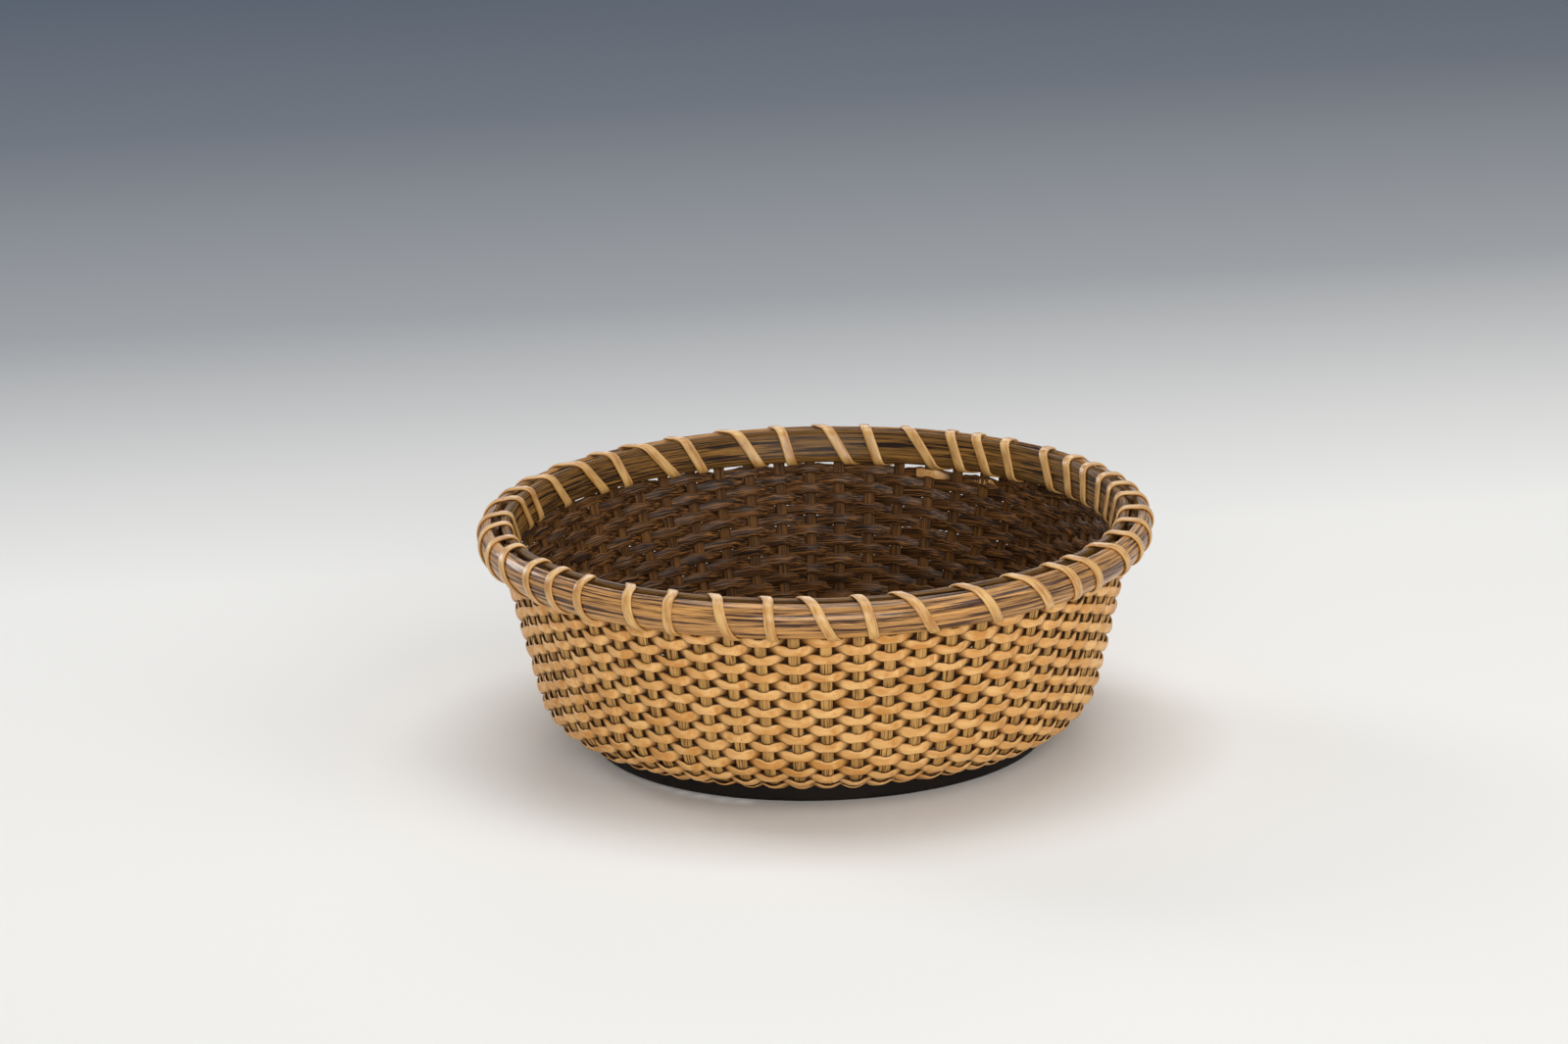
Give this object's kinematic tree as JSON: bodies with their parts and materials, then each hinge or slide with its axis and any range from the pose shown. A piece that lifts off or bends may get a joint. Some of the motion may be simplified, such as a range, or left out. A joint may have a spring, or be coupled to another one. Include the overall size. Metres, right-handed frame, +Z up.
{
  "type": "berry basket",
  "caption": "Round open basket for berries: flat staves set in a turned base, woven with cane, with a pair of hoops lashed round the rim.",
  "frame": {"origin": "centre of the base's underside, on the surface that the basket stands on", "axes": "+Z up along the basket's axis; -Y is the side that faces the camera in the picture"},
  "size_m": [0.1316, 0.1316, 0.046],
  "materials": {
    "base_wood": "near-black stained wood, matt",
    "stave_rod": "flat rattan rod with fine dark pores along it, dry satin",
    "weaving_cane": "honey-coloured cane, satin outside and dark and streaky inside",
    "outer_hoop_rod": "half-round rod, tan with long dark brown streaks, varnished",
    "inner_hoop_strip": "flat strip, olive brown with fine streaks, varnished",
    "lashing_cane": "pale glossy binding cane"
  },
  "bodies": {
    "root": {"turned_base": "base_wood", "stave_01": "stave_rod", "stave_02": "stave_rod", "stave_03": "stave_rod", "stave_04": "stave_rod", "stave_05": "stave_rod", "stave_06": "stave_rod", "stave_07": "stave_rod", "stave_08": "stave_rod", "stave_09": "stave_rod", "stave_11": "stave_rod", "stave_12": "stave_rod", "stave_13": "stave_rod", "stave_14": "stave_rod", "stave_15": "stave_rod", "stave_16": "stave_rod", "stave_17": "stave_rod", "stave_18": "stave_rod", "stave_19": "stave_rod", "stave_21": "stave_rod", "stave_22": "stave_rod", "stave_23": "stave_rod", "stave_24": "stave_rod", "stave_25": "stave_rod", "stave_26": "stave_rod", "stave_27": "stave_rod", "stave_28": "stave_rod", "stave_29": "stave_rod", "stave_31": "stave_rod", "stave_32": "stave_rod", "stave_33": "stave_rod", "stave_34": "stave_rod", "stave_35": "stave_rod", "stave_36": "stave_rod", "stave_37": "stave_rod", "stave_38": "stave_rod", "stave_39": "stave_rod", "stave_40": "stave_rod", "stave_42": "stave_rod", "stave_43": "stave_rod", "stave_44": "stave_rod", "stave_45": "stave_rod", "stave_46": "stave_rod", "stave_47": "stave_rod", "stave_48": "stave_rod", "stave_49": "stave_rod", "stave_50": "stave_rod", "stave_52": "stave_rod", "stave_53": "stave_rod", "stave_54": "stave_rod", "stave_55": "stave_rod", "stave_56": "stave_rod", "stave_57": "stave_rod", "stave_58": "stave_rod", "stave_59": "stave_rod", "stave_60": "stave_rod", "woven_cane": "weaving_cane", "outer_hoop": "outer_hoop_rod", "inner_hoop": "inner_hoop_strip", "rim_lashing": "lashing_cane"}
  },
  "joints": []
}
